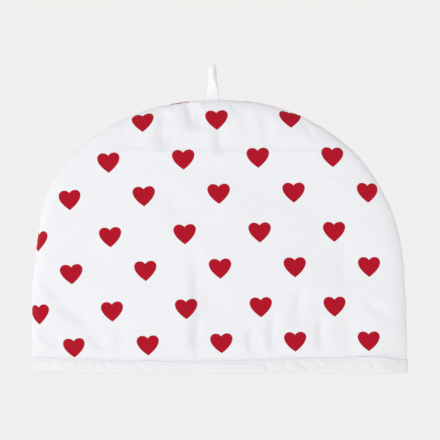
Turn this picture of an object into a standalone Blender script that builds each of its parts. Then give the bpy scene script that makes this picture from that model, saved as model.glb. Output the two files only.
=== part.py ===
"""A padded cotton tea cosy, standing open on its hem.

Two dome-shaped padded panels meet in a seam that runs up one side, over the top and down the other. A folded strip
binds their open lower edge, and a loop of tape is caught in the seam at the top. Millimetres below, +Z up, the front
faces -Y, and the origin is on the table under the middle of the cosy.
"""

import math

import bmesh
import bpy
import numpy as np

TO_METRES = 0.001
GAP = 0.3  # between one piece and the next

# The dome's outline, seen from the front
HALF_WIDTH = 175.0
HEIGHT = 256.0
SIDE_HEIGHT = 55.0  # the sides rise straight for this much, then round over
LEFT_FULLNESS = (2.2, 2.9)  # exponents in x and z of the curve over each shoulder
RIGHT_FULLNESS = (2.1, 2.45)
HEM_PINCH = 0.6  # the binding draws each side in by this
WAIST = 1.2  # and above it each side is a little hollow
WAIST_HEIGHT = 85.0
WAIST_SPREAD = 38.0
# How far the sewn edge lies outside that outline, against how far along it, up the left side and over to the right
TRIM_COLUMNS = ("travel", "out")
EDGE_TRIM = (
    (14, 0), (65, 2.3), (88, 2.0), (112, 0), (130, 0), (158, 2.5), (178, 2.1), (225, -0.3), (260, -1.2), (300, -0.7),
    (420, -0.6), (476, -1.1), (500, 0), (596, 0.9), (632, 0.2), (690, 0.6), (704, 0),
)
TRIM_EASING = 20.0  # its corners are rounded over this much

# How far the cosy stands open
FULLNESS_BLEND = 85.0  # over this much each side of the middle the face turns from one fullness to the other
OPEN_HALF_DEPTH = 34.0  # from the seam's plane to the middle of a panel's inner face, at the hem
TOP_TAPER = 0.25

# The padded panels
PADDING = 8.0
PADDING_AT_HEM = 5.0
PADDING_FULL_AT = 34.0  # height above the table where the padding has its full thickness
RIM_FULL_AT = 46.0  # and where the rim beside the seam is fully swollen
NOSE = PADDING / 2  # the rounded edge beside the seam turns on this radius
SHOULDER_REACH = 12.5  # and flattens out into the face over this much
RIM_SWELL = 5.0  # the turned-in seam allowance fills the rim out by this much more than the face
RIM_SHARES = (0.1, 0.55)  # and the swelling dies away between these shares of the hollow's depth
SEAM_ANGLES = (-60, -27, 0, 24, 45, 66, 90)  # degrees round the edge, from the seam out and over to the face
FACE_ANGLE = 100  # stands for the last row, where the edge has run into the face
CROWN_ANGLE = 40  # from here on the edge stands out with the hollow
INNER_SEAM_INSET = 3.2
SEAM_LAND = 8.0  # inside this distance from the outline the two panels lie face to face
CROWN_LAND = 3.0  # and inside this one their outer sides have not begun to part
CROWN_EASING = 0.03
STRIP_INSET = 16.0  # the rounded edge's rows end here, and the face's own grid begins

# The strip that binds the hem
BINDING_DEPTH = 13.0
BINDING_THICKNESS = 1.0
TURN_ROUNDING = 0.35  # at the strip's creases
BINDING_TIP = 156.0  # half the length of the mouth between the binding's inner turns
BINDING_STEPS = 46  # along each of the front and the back, past the rounded ends
TIP_CHAMFER = 1.3
EASE = 0.1  # a little more than the gap, where both pieces turn their corners in flat steps
PANEL_FOOT = BINDING_THICKNESS + GAP

# The hanging loop
LOOP_X = -6.5
LOOP_RISE = 34.4
LOOP_SEAT = 0.25  # how far the middle of the tape's foot lies below the top of the panels' edges
LOOP_EYE = 9.0  # the widest opening between its two legs
LOOP_WIDEST_AT = 0.7  # share of its rise
LOOP_TWIST = -21  # degrees that the top of the loop is turned by
TAPE_WIDTH_BELOW = 12.7
TAPE_WIDTH_ABOVE = 5.4  # the tape is creased along its length as it turns over
TAPE_CUP = 0.6  # so its edges curl in by this much
TAPE_THICKNESS = 1.0

# The stitching puckers the strip: how far each pucker stands out, how far apart they are and how far each leans
PUCKER_RISE = 0.45
PUCKER_PITCH = 17.0
PUCKER_LEAN = 5.0

# Rows and columns of the panels' faces
FACE_COLUMNS = 44
SHOULDER_ROWS = 14
HEM_ROWS = (0.0, 5.8, 11.6, 15.5, 21.0, 29.0)  # heights above a panel's lower edge

# Soft folds: the middle of each in x and z, its length and width, how far its top leans right, and its rise (+) or
# depth (-)
FOLD_COLUMNS = ("x", "z", "length", "width", "lean", "rise")
FRONT_FOLDS = (
    (-25.5, 240, 40, 5.6, -12, -6.8),
    (-50, 225, 44, 5.0, 7, -4.6),
    (-8, 219, 26, 5.5, 0, 1.8),
    (1, 216, 30, 5.2, 0, -4.3),
    (24.5, 235, 34, 4.5, -8, -2.6),
    (44, 227, 36, 5.5, -4, -3.0),
    (116, 105, 54, 8, 2, -1.9),
    (-32, 56, 96, 9, -2.5, 1.4),
    (-18.5, 66, 104, 5.6, -2.5, -5.0),
    (-21.5, 30, 40, 5.2, -2, -2.6),
    (73, 62, 40, 6, 8, -3.4),
    (-156, 82, 30, 4.8, -35, -4.4),
    (-134, 58, 42, 6.2, -57, -4.8),
    (-154, 31, 30, 4.8, -45, -4.2),
    (-113.5, 32, 36, 5, -42, -4.9),
    (-92, 30, 38, 5, 10, -3.7),
    (30, 28, 42, 4.8, -10, -4.9),
    (49.5, 38, 48, 5, 2, -4.2),
    (92.5, 38, 34, 4.5, 0, -3.9),
    (120, 34, 36, 8, -3, -2.3),
    (147, 60, 30, 5, -55, -3.8),
)
BACK_FOLDS = (
    (-78, 224, 34, 6, 22, -3.9),
    (-36, 236, 34, 5, 8, -3.8),
    (4, 240, 26, 5, 0, -2.8),
    (50, 230, 36, 6, -14, -4.6),
    (98, 212, 30, 5, -36, -3.0),
    (-92, 118, 50, 8, 4, -1.9),
    (-60, 58, 76, 6, -5, -4.4),
    (12, 46, 60, 6, 5, -3.8),
    (44, 34, 34, 5, -12, -3.2),
    (-142, 52, 40, 5, -42, -3.6),
    (-112, 30, 26, 5, -28, -2.9),
    (132, 66, 40, 6, 46, -3.9),
    (146, 34, 26, 5, 52, -3.0),
    (92, 34, 30, 5, 30, -2.9),
)
# The seam has rolled to the front along the left side and over the top left: how far it has, from left to right
ROLL_COLUMNS = ("x", "roll")
SEAM_ROLLS = (
    (-160, 0.8), (-112, 0.6), (-84, 2.6), (-44, 2.6), (-18, 1.8), (6, 1.8), (30, 1.2), (50, 0.6), (110, 0.7), (150, 1.2),
)


def smooth(low, high, value):
    """0 below low, 1 above high, and an eased rise between them."""
    share = np.clip((np.asarray(value, float) - low) / (high - low), 0, 1)
    return share * share * (3 - 2 * share)


def table(rows, columns):
    return [dict(zip(columns, row)) for row in rows]


# The outline and what is measured from it


def side_arc(fullness, sign, steps=700):
    """From the top of the straight side to the top of the dome."""
    angle = np.linspace(0, math.pi / 2, steps)
    x = sign * HALF_WIDTH * np.cos(angle) ** (2 / fullness[0])
    z = SIDE_HEIGHT + (HEIGHT - SIDE_HEIGHT) * np.sin(angle) ** (2 / fullness[1])
    return np.column_stack([x, z])


def edge_trim(travel):
    """How far the edge lies outside the plain curve, with the table's corners eased."""
    rows = table(EDGE_TRIM, TRIM_COLUMNS)
    nearby = np.linspace(-TRIM_EASING / 2, TRIM_EASING / 2, 11)
    places = np.asarray(travel)[:, None] + nearby
    return np.interp(places, [row["travel"] for row in rows], [row["out"] for row in rows]).mean(axis=1)


def dome_outline():
    """Up the left side, over the top and down the right side, from one panel foot to the other."""
    rise = np.linspace(PANEL_FOOT, SIDE_HEIGHT, 60)[:-1]
    straight = np.column_stack([np.full(len(rise), HALF_WIDTH), rise])
    left = np.concatenate([straight * (-1, 1), side_arc(LEFT_FULLNESS, -1)])
    right = np.concatenate([straight, side_arc(RIGHT_FULLNESS, 1)])
    points = np.concatenate([left, right[::-1][1:]])
    above_hem = smooth(BINDING_DEPTH, BINDING_DEPTH + 12, points[:, 1])
    waist = WAIST * np.exp(-(((points[:, 1] - WAIST_HEIGHT) / WAIST_SPREAD) ** 2))
    points[:, 0] -= np.sign(points[:, 0]) * (HEM_PINCH * (1 - above_hem) + waist * above_hem)
    travel = np.concatenate([[0], np.cumsum(np.linalg.norm(np.diff(points, axis=0), axis=1))])
    ahead = np.gradient(points, axis=0)
    ahead /= np.linalg.norm(ahead, axis=1, keepdims=True)
    return points + np.column_stack([-ahead[:, 1], ahead[:, 0]]) * edge_trim(travel)[:, None]


OUTLINE = dome_outline()
TRAVEL = np.concatenate([[0], np.cumsum(np.linalg.norm(np.diff(OUTLINE, axis=0), axis=1))])


def on_outline(travel):
    """The outline's points, and its inward normals, at these distances along it."""
    def at(place):
        return np.column_stack([np.interp(place, TRAVEL, OUTLINE[:, axis]) for axis in (0, 1)])

    ahead = at(np.clip(travel + 1.5, 0, TRAVEL[-1])) - at(np.clip(travel - 1.5, 0, TRAVEL[-1]))
    ahead /= np.linalg.norm(ahead, axis=1, keepdims=True)
    inward = np.column_stack([ahead[:, 1], -ahead[:, 0]])
    # The lowest points are drawn in level, so that the hem stays in its own plane.
    level = (travel <= BINDING_DEPTH) | (travel >= TRAVEL[-1] - BINDING_DEPTH)
    inward[level] = np.column_stack([-np.sign(at(travel)[level, 0]), np.zeros(level.sum())])
    return at(travel), inward


def shoulder(sign):
    """How far along the outline the shoulder's 45 degree point lies."""
    half = np.flatnonzero(np.sign(OUTLINE[:, 0]) == sign)
    inward = on_outline(TRAVEL[half])[1]
    return TRAVEL[half[np.argmin(np.abs(np.abs(inward[:, 0]) - math.sqrt(0.5)))]]


def boundary_travel():
    """Where the panel's columns and rows meet the outline: up the left side, over the top, down the right."""
    rows = np.array(HEM_ROWS)
    left = np.linspace(rows[-1], shoulder(-1), SHOULDER_ROWS + 1)[1:]
    right = np.linspace(rows[-1], TRAVEL[-1] - shoulder(1), SHOULDER_ROWS + 1)[1:]
    left = np.concatenate([rows, left])
    right = TRAVEL[-1] - np.concatenate([rows, right])
    top = np.linspace(left[-1], right[-1], FACE_COLUMNS + 1)[1:-1]
    return np.concatenate([left, top, right[::-1]])


def seam_roll(points):
    """How far the seam has rolled to the front at these points of the outline."""
    rolls = table(SEAM_ROLLS, ROLL_COLUMNS)
    roll = np.interp(points[:, 0], [row["x"] for row in rolls], [row["roll"] for row in rolls])
    return roll * smooth(BINDING_DEPTH, BINDING_DEPTH + 20, points[:, 1])


# The panels' depth


def depth_share(x, z, land):
    """1 at the middle of the hem, and 0 this far inside the outline and less beyond."""
    up = np.maximum(z - SIDE_HEIGHT, 0) / (HEIGHT - SIDE_HEIGHT - land)
    out = np.abs(x) / (HALF_WIDTH - land)
    rightward = smooth(-FULLNESS_BLEND, FULLNESS_BLEND, x)
    fullness = [low + (high - low) * rightward for low, high in zip(LEFT_FULLNESS, RIGHT_FULLNESS)]
    taper = 1 - TOP_TAPER * np.maximum(z - BINDING_DEPTH, 0) / HEIGHT
    return (1 - out ** fullness[0] - up ** fullness[1]) * taper


def openness(x, z):
    """Half the depth of the hollow at x and z: nothing at the seam, most at the middle of the hem."""
    return OPEN_HALF_DEPTH * np.maximum(depth_share(x, z, SEAM_LAND), 0)


def crown(x, z):
    """How far the padding's outer side stands out with the hollow: it starts nearer the seam, and softly."""
    return OPEN_HALF_DEPTH * CROWN_EASING * np.logaddexp(0, depth_share(x, z, CROWN_LAND) / CROWN_EASING)


def padding(z):
    return PADDING_AT_HEM + (PADDING - PADDING_AT_HEM) * smooth(BINDING_DEPTH, PADDING_FULL_AT, z)


def rim(x, z):
    """How much fuller than the rest of the face the padding is beside the seam, above the binding."""
    return RIM_SWELL * (1 - smooth(*RIM_SHARES, depth_share(x, z, CROWN_LAND))) * smooth(BINDING_DEPTH, RIM_FULL_AT, z)


def fold_relief(x, z, folds):
    """The folds' rise and depth over the face, fading out at the binding."""
    total = np.zeros_like(x)
    for fold in table(folds, FOLD_COLUMNS):
        lean = math.radians(fold["lean"])
        across = (x - fold["x"]) * math.cos(lean) - (z - fold["z"]) * math.sin(lean)
        along = (x - fold["x"]) * math.sin(lean) + (z - fold["z"]) * math.cos(lean)
        ends = 1 - smooth(0.3, 1.15, np.abs(along) / (fold["length"] / 2))
        total += fold["rise"] * ends * np.exp(-((across / fold["width"]) ** 2))
    return total * smooth(BINDING_DEPTH + 1, BINDING_DEPTH + 14, z)


# Meshes


def object_from(name, points, faces, material):
    """A mesh object from points in millimetres, with every face turned outward."""
    mesh = bpy.data.meshes.new(name)
    mesh.from_pydata((np.asarray(points) * TO_METRES).tolist(), [], faces)
    shape = bmesh.new()
    shape.from_mesh(mesh)
    bmesh.ops.triangulate(shape, faces=shape.faces[:], quad_method="SHORT_EDGE")
    bmesh.ops.recalc_face_normals(shape, faces=shape.faces[:])
    shape.to_mesh(mesh)
    shape.free()
    mesh.shade_smooth()
    mesh.set_sharp_from_angle(angle=math.radians(50))
    mesh.materials.append(material)
    made = bpy.data.objects.new(name, mesh)
    bpy.context.scene.collection.objects.link(made)
    return made


def closed_faces(rows, columns):
    """The faces of a grid of points that closes on itself both ways."""
    faces = []
    for row in range(rows):
        for column in range(columns):
            beside, above = (column + 1) % columns, (row + 1) % rows
            faces.append((
                row * columns + column, row * columns + beside, above * columns + beside, above * columns + column,
            ))
    return faces


def cotton(name, color, roughness):
    material = bpy.data.materials.new(name)
    material.use_nodes = True
    shader = material.node_tree.nodes["Principled BSDF"]
    shader.inputs["Base Color"].default_value = (*color, 1)
    shader.inputs["Roughness"].default_value = roughness
    shader.inputs["Metallic"].default_value = 0
    return material


def coons(left, top, right):
    """Places a grid inside its left, top and right sides and a straight lower side, all of them x and z."""
    across = np.linspace(0, 1, len(top))[None, :, None]
    reach = np.concatenate([[0], np.cumsum(np.linalg.norm(np.diff(left, axis=0), axis=1))])
    up = (reach / reach[-1])[:, None, None]
    spread = np.linspace(left[0], right[0], len(top))
    ruled = (1 - across) * left[:, None] + across * right[:, None] + (1 - up) * spread[None] + up * top[None]
    corners = (1 - up) * ((1 - across) * left[0] + across * right[0]) + up * (
        (1 - across) * left[-1] + across * right[-1]
    )
    return ruled - corners


def face_grid(strip_end):
    """The face's own rows and columns, inside the last row of its rounded edge."""
    rows = len(HEM_ROWS) + SHOULDER_ROWS
    left = strip_end[:rows]
    right = strip_end[-rows:][::-1]
    top = strip_end[rows - 1 : len(strip_end) - rows + 1]
    return coons(left, top, right)


def edge_rows(side, folds):
    """The rounded edge from the seam to the face: its rows of x, y and z outside and inside. side is -1 in front."""
    line, inward = on_outline(boundary_travel())
    roll = seam_roll(line)
    outer, inner = [], []
    for degrees in SEAM_ANGLES + (FACE_ANGLE,):
        angle = math.radians(min(degrees, 90))
        to_seam = float(smooth(90, SEAM_ANGLES[0], degrees))
        lowered = to_seam if side < 0 else float(smooth(0, SEAM_ANGLES[0], degrees))
        reach = NOSE if degrees < 0 else SHOULDER_REACH
        inset = STRIP_INSET if degrees == FACE_ANGLE else reach * (1 - math.cos(angle))
        place = line + inward * (inset + roll * lowered)[:, None]
        depth = padding(place[:, 1]) / 2 * (1 + math.sin(angle)) + rim(*place.T) * max(math.sin(angle), 0)
        depth += crown(*place.T) * float(smooth(SEAM_ANGLES[0], CROWN_ANGLE, degrees))
        depth += fold_relief(*place.T, folds) * max(math.sin(angle), 0) ** 2
        outer.append(np.column_stack([place[:, 0], side * depth - roll * to_seam, place[:, 1]]))
    for share in np.linspace(0, 1, len(outer)):
        inset = INNER_SEAM_INSET + (STRIP_INSET - INNER_SEAM_INSET) * share + roll * (1 - share)
        place = line + inward * inset[:, None]
        depth = GAP / 2 + openness(*place.T)
        inner.append(np.column_stack([place[:, 0], side * depth - roll * (1 - share) ** 2, place[:, 1]]))
    return np.array(outer), np.array(inner)


def shell(strip, grid):
    """The points of one face, its rounded edge and its middle, and their faces, rows first."""
    rows, columns = grid.shape[:2]
    count, boundary = strip.shape[:2]
    points = strip.reshape(-1, 3).tolist()
    number = np.empty((rows, columns), int)
    border = [(row, 0) for row in range(rows)] + [(rows - 1, column) for column in range(1, columns - 1)]
    border += [(row, columns - 1) for row in range(rows - 1, -1, -1)]
    for place, (row, column) in enumerate(border):
        number[row, column] = (count - 1) * boundary + place
    for row in range(rows - 1):
        for column in range(1, columns - 1):
            number[row, column] = len(points)
            points.append(grid[row, column].tolist())
    faces = []
    for row in range(count - 1):
        for place in range(boundary - 1):
            first = row * boundary + place
            faces.append((first, first + 1, first + boundary + 1, first + boundary))
    for row in range(rows - 1):
        for column in range(columns - 1):
            corners = number[row : row + 2, column : column + 2]
            faces.append((int(corners[0, 0]), int(corners[0, 1]), int(corners[1, 1]), int(corners[1, 0])))
    hem = [row * boundary for row in range(count)] + number[0, 1:-1].tolist()
    hem += [row * boundary + boundary - 1 for row in range(count - 1, -1, -1)]
    return points, faces, [int(n) for n in hem], list(range(boundary))


def panel(name, side, folds, material):
    """One padded panel: an outer and an inner face, closed along the seam and along the hem."""
    outer_strip, inner_strip = edge_rows(side, folds)
    faces_of = []
    for strip, is_outer in ((outer_strip, True), (inner_strip, False)):
        grid = face_grid(strip[-1][:, [0, 2]])
        x, z = grid[..., 0], grid[..., 1]
        if is_outer:
            depth = crown(x, z) + padding(z) + rim(x, z) + fold_relief(x, z, folds)
        else:
            depth = openness(x, z) + GAP / 2
        faces_of.append(shell(strip, np.stack([x, side * depth, z], axis=-1)))
    (outer, outer_faces, hem, seam), (inner, inner_faces, _, _) = faces_of
    shift = len(outer)
    faces = outer_faces + [tuple(n + shift for n in reversed(face)) for face in inner_faces]
    for edge in (hem, seam):
        for first, second in zip(edge, edge[1:]):
            faces.append((first, second, second + shift, first + shift))
    return object_from(name, outer + inner, faces, material)


# The binding


def plan_line(side, outside):
    """The panel's lower edge seen from above, from the right end to the left: x and y."""
    if outside:
        angles = np.array([degrees for degrees in SEAM_ANGLES if degrees >= 0])
        nose = HALF_WIDTH - HEM_PINCH - SHOULDER_REACH * (1 - np.cos(np.radians(angles)))
        lift = PADDING_AT_HEM / 2 * (1 + np.sin(np.radians(angles)))
    else:
        nose = BINDING_TIP - np.array([0.0, 0.5, 1.4, 2.8, 4.8])
        lift = np.full(len(nose), GAP / 2)
        lift[0] -= TIP_CHAMFER
    run = np.linspace(nose[-1], 0, BINDING_STEPS // 2)[1:]
    right = np.concatenate([nose, run])
    thick = np.concatenate([lift, np.full(len(run), lift[-1])])
    x = np.concatenate([right, -right[::-1][1:]])
    reach = (crown if outside else openness)(x, np.full(len(x), PANEL_FOOT))
    if outside:
        turned = np.concatenate([angles, np.full(len(run), CROWN_ANGLE)])
        reach *= smooth(SEAM_ANGLES[0], CROWN_ANGLE, np.concatenate([turned, turned[::-1][1:]]))
    return np.column_stack([x, side * (np.concatenate([thick, thick[::-1][1:]]) + reach)])


def ring(outside, offset):
    """The lower edges of both panels as one closed line, moved outward by offset."""
    closed = np.concatenate([plan_line(-1, outside), plan_line(1, outside)[::-1]])
    ahead = np.roll(closed, -1, axis=0) - np.roll(closed, 1, axis=0)
    ahead /= np.linalg.norm(ahead, axis=1, keepdims=True)
    return closed + offset * np.column_stack([-ahead[:, 1], ahead[:, 0]])


def binding(material):
    """The strip folded up round the panels' lower edge: an outer turn, a flat foot and an inner turn."""
    near, far = GAP + EASE, GAP + EASE + BINDING_THICKNESS
    outer_near, outer_far = ring(True, near), ring(True, far)
    inner_near, inner_far = ring(False, -near), ring(False, -far)
    outer_middle, inner_middle = (outer_near + outer_far) / 2, (inner_near + inner_far) / 2

    def puckered(lean):
        """The outer turn's face with its puckers, which swell and fade along the strip."""
        place = outer_far[:, 0] + lean
        wave = np.sin(2 * math.pi * place / PUCKER_PITCH) * (0.6 + 0.4 * np.sin(place / 41))
        rise = PUCKER_RISE * wave * (np.abs(outer_far[:, 0]) < BINDING_TIP)
        return outer_far + (outer_far - outer_near) / BINDING_THICKNESS * rise[:, None]

    edge = TURN_ROUNDING
    section = (
        (outer_middle, 0),
        (outer_far, edge),
        (puckered(0), BINDING_DEPTH * 0.35),
        (puckered(PUCKER_LEAN), BINDING_DEPTH * 0.7),
        (outer_far, BINDING_DEPTH - edge),
        (outer_middle, BINDING_DEPTH),
        (outer_near, BINDING_DEPTH - edge),
        (outer_near, BINDING_THICKNESS),
        (inner_near, BINDING_THICKNESS),
        (inner_near, BINDING_DEPTH - edge),
        (inner_middle, BINDING_DEPTH),
        (inner_far, BINDING_DEPTH - edge),
        (inner_far, edge),
        (inner_middle, 0),
    )
    points = [(x, y, z) for line, z in section for x, y in line]
    return object_from("hem_binding", points, closed_faces(len(section), len(outer_far)), material)


# The hanging loop


def tape_line():
    """The middle of the tape seen from its edge: how far forward and how far up, round from the seam and back."""
    lowest = TAPE_THICKNESS / 2 + GAP / 2
    widest = (LOOP_EYE + TAPE_THICKNESS) / 2
    shoulder_up = LOOP_WIDEST_AT * LOOP_RISE
    turn = np.linspace(-math.pi / 2, 0, 3)[:-1]
    foot = np.column_stack([lowest * np.cos(turn), lowest * np.sin(turn)])
    rise = np.linspace(0, shoulder_up, 9)[:-1]
    leg = np.column_stack([lowest + (widest - lowest) * smooth(0.1, 1, rise / shoulder_up), rise])
    turn = np.linspace(0, math.pi / 2, 6)
    crest = np.column_stack([widest * np.cos(turn), shoulder_up + (LOOP_RISE - shoulder_up) * np.sin(turn)])
    half = np.concatenate([foot, leg, crest])
    return np.concatenate([half, (half * (-1, 1))[::-1][1:-1]])


def hanging_loop(material):
    """A tape folded over, both ends caught in the groove between the panels' rounded edges."""
    seam_z = float(np.interp(LOOP_X, OUTLINE[:, 0], OUTLINE[:, 1]))
    roll = float(seam_roll(np.array([[LOOP_X, seam_z]]))[0])
    foot_z = seam_z - roll - LOOP_SEAT
    line = tape_line()
    ahead = np.roll(line, -1, axis=0) - np.roll(line, 1, axis=0)
    ahead /= np.linalg.norm(ahead, axis=1, keepdims=True)
    points = []
    for (forward, up), (run, climb) in zip(line, ahead):
        share = min(max(up / LOOP_RISE, 0), 1)
        narrow = float(smooth(0, 0.85, share))
        half = (TAPE_WIDTH_BELOW + (TAPE_WIDTH_ABOVE - TAPE_WIDTH_BELOW) * narrow) / 2
        thick = TAPE_THICKNESS / 2
        twist = math.radians(LOOP_TWIST) * float(smooth(0.1, 0.9, share))
        rim = half - thick
        for across, out in ((-half, 0), (-rim, thick), (0, thick), (rim, thick),
                            (half, 0), (rim, -thick), (0, -thick), (-rim, -thick)):
            out -= TAPE_CUP * narrow * (across / half) ** 2
            y = -(forward + climb * out)
            z = up - run * out
            x_turned = across * math.cos(twist) - y * math.sin(twist)
            y_turned = across * math.sin(twist) + y * math.cos(twist)
            points.append((LOOP_X + x_turned, y_turned - roll, foot_z + z))
    return object_from("hanging_loop", points, closed_faces(len(line), len(points) // len(line)), material)


def clear_scene():
    for thing in list(bpy.data.objects):
        bpy.data.objects.remove(thing, do_unlink=True)


def main():
    clear_scene()
    print_cotton = cotton("printed_cotton", (0.86, 0.87, 0.89), 0.9)
    plain_cotton = cotton("binding_cotton", (0.85, 0.86, 0.87), 0.9)
    panel("front_panel", -1, FRONT_FOLDS, print_cotton)
    panel("back_panel", 1, BACK_FOLDS, print_cotton)
    binding(plain_cotton)
    hanging_loop(plain_cotton)


main()
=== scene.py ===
"""The finished look of the padded tea cosy: printed cotton over wadding, with a binding and a loop.

Lengths are millimetres until a mesh is made. +Z is up, the front faces -Y and the cosy stands on z = 0.
"""

import math

import bmesh
import bpy
import numpy as np
from mathutils import Matrix, Vector

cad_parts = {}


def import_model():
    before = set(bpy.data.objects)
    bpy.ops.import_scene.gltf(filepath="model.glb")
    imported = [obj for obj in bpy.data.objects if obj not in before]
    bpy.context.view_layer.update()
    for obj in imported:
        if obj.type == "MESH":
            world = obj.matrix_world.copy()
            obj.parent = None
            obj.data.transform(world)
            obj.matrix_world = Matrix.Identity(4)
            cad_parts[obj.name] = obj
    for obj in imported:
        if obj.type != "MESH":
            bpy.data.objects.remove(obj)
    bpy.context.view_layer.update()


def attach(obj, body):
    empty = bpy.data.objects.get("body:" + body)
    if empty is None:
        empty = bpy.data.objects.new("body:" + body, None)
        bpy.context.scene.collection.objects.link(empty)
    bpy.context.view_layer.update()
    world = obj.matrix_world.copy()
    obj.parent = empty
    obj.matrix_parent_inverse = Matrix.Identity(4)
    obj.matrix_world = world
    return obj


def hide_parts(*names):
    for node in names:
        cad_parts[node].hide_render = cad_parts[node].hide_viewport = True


TO_METRES = 0.001
GAP = 0.3  # between one piece and the next

# The dome's outline, as the solids have it
HALF_WIDTH = 175.0
HEIGHT = 256.0
SIDE_HEIGHT = 55.0  # the sides stand upright to here
LEFT_FULLNESS = (2.2, 2.9)  # how square the shoulder is, across and up: 2 would be an ellipse
RIGHT_FULLNESS = (2.1, 2.45)
FULLNESS_BLEND = 85.0  # from one to the other over this much each side of the middle
HEM_PINCH = 0.6  # the binding draws the sides in by this
HEM_FREE_AT = 25.0  # and they are free from this height
WAIST = 1.2
WAIST_PLACE = (85, 38)  # its height and spread
# The sewn edge's unevenness and gathers: how much, and the shortest and longest waves
EDGE_WAVER = (0.22, 18, 60)
EDGE_GATHERS = (0.17, 7, 18)
GATHER_LEAST = -0.085
WAVER_FULL_AT = 40.0
# How far the sewn edge lies outside that outline, along it from the left foot
TRIM_COLUMNS = ("travel", "out")
EDGE_TRIM = (
    (14, 0), (65, 1.8), (88, 1.4), (112, -0.4), (134, -0.8), (160, 2.5), (178, 2.1), (225, -0.3), (260, -1.2),
    (300, -0.7), (420, -0.6), (476, -1.1), (500, 0), (596, 0.9), (632, 0.2), (690, 0.6), (704, 0),
)
TRIM_EASING = 20.0  # its corners are rounded over this much

# The panels
OPEN_HALF_DEPTH = 34.0
TOP_TAPER = 0.25
PADDING = 8.0
PADDING_AT_HEM = 5.0
PADDING_FULL_AT = 28.0
FOOT_ROUNDING = 1.6  # the padding's lower corner
FOOT_ROUNDED_TO = 4.5
NOSE = PADDING / 2
SHOULDER_REACH = 12.5
RIM_SWELL = 5.0
RIM_SHARES = (0.1, 0.55)
RIM_FULL_AT = 46.0
CORNER_SWELL = 5.5  # the hem's right end stands out by this much more
CORNER_PLACE = (152, 27)
CORNER_TOP = 95.0
INNER_SEAM_INSET = 3.2
SEAM_LAND = 8.0  # beside the seam the hollow is closed over this width
CROWN_LAND = 3.0
CROWN_EASING = 0.03
STRIP_INSET = 16.0
# The rows of the rounded edge: degrees round it, and then how far in the rest of them lie
EDGE_ANGLES = (-66, -52, -38, -24, -12, 0, 9, 18, 27, 36, 45, 54, 63, 72, 81, 90)
FLAT_INSETS = (14.2, STRIP_INSET)
CROWN_ANGLE = 40  # from here on the edge stands out in full with the hollow
CLOTH_STEP = 1.65  # between a face's rows and between its columns
# How far the seam rolls out of sight behind the front, by x
SEAM_ROLLS = (
    (-160, 0.8), (-112, 0.6), (-84, 2.6), (-44, 2.6), (-18, 1.8), (6, 1.8), (30, 1.2), (50, 0.6), (110, 0.7),
    (150, 1.2),
)
ROLL_FULL_AT = 33.0

# Soft folds: the middle, length and width, the degrees the top leans right, and the rise or depth
FOLD_COLUMNS = ("x", "z", "length", "width", "lean", "rise")
FRONT_FOLDS = (
    (-26, 243, 33, 5.6, -9, -8), (-51.2, 227, 38, 5.6, 7, -6.8), (-8, 219, 26, 5.5, 0, 1.8),
    (1, 216, 30, 5.2, 0, -4.3), (24.5, 235, 34, 4.5, -8, -2.1), (44, 227, 36, 5.5, -4, -2.6),
    (116, 105, 54, 8, 2, -1.9), (-32, 56, 96, 9, -2.5, 1.4), (-18.2, 66, 104, 6.4, -2.5, -6),
    (-21.5, 30, 40, 5.2, -2, -3.6), (73, 62, 40, 6, 8, -3.4), (-157.5, 81, 26, 4.8, -35, -3.8),
    (-134, 58, 42, 6.6, -57, -4.4), (-156, 31, 34, 4.8, -45, -6), (-113.5, 32, 36, 5, -42, -4.9),
    (-92, 30, 38, 5, 10, -3.7), (31.2, 28, 42, 4.8, -10, -5.9), (49.5, 38, 48, 5, 2, -4.2),
    (93.5, 38, 34, 4.3, 0, -3.7), (120, 34, 36, 8, -3, -2.3), (147, 60, 30, 5.4, -55, -2.4),
)
BACK_FOLDS = (
    (-78, 224, 34, 6, 22, -3.9), (-36, 236, 34, 5, 8, -3.8), (4, 240, 26, 5, 0, -2.8),
    (50, 230, 36, 6, -14, -4.6), (98, 212, 30, 5, -36, -3), (-92, 118, 50, 8, 4, -1.9),
    (-60, 58, 76, 6, -5, -4.4), (12, 46, 60, 6, 5, -3.8), (44, 34, 34, 5, -12, -3.2),
    (-142, 52, 40, 5, -42, -3.6), (-112, 30, 26, 5, -28, -2.9), (132, 66, 40, 6, 46, -3.9),
    (146, 34, 26, 5, 52, -3), (92, 34, 30, 5, 30, -2.9),
)
# Short sharp creases, in the same columns
FRONT_CREASES = (
    (13, 249, 16, 2.6, -25, -1.5), (82, 228, 24, 2.6, -32, -1.3), (-42, 247, 10, 2.2, -30, -0.9),
    (-29, 246, 20, 2, -10, -0.9), (-57, 226, 30, 1.8, 7, -0.7), (-22, 75, 40, 2.2, -3, -0.7),
    (-41.5, 149, 32, 4, 0, -0.7), (-52, 28, 24, 3.2, -28, -2), (34, 37, 40, 6.5, -42, 1.3),
    (6, 61, 20, 4.5, -20, -1), (27, 26, 20, 1.9, -4, -0.8), (121, 18, 12, 1.7, 10, -0.9),
    (-20.5, 18, 12, 1.8, 0, -1),
)
BACK_CREASES = (
    (-60, 240, 18, 2.4, 20, -1.2), (-8, 247, 14, 2.2, 8, -1.2), (34, 244, 18, 2.6, -20, -1.3),
    (76, 226, 20, 2.4, -30, -1), (-62, 70, 40, 2.2, -5, -0.7), (10, 40, 30, 2, 6, -0.7),
    (-30, 20, 14, 1.8, 8, -0.9), (70, 19, 13, 1.9, -10, -1), (118, 24, 20, 2.6, 32, -1.1),
)
FOLD_ENDS = (0.3, 1.15)  # shares of a fold's half length between which it dies out
FOLD_FADE = (14, 27)  # heights between which they come in
CREASE_FADE = (12, 17)
# The wadding's and the cloth's unevenness: how much, and the shortest and longest waves
WADDING = (0.28, 38, 95)
CLOTH_UNEVENNESS = (0.08, 9, 26)
WADDING_FADE = (12, 29)
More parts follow.
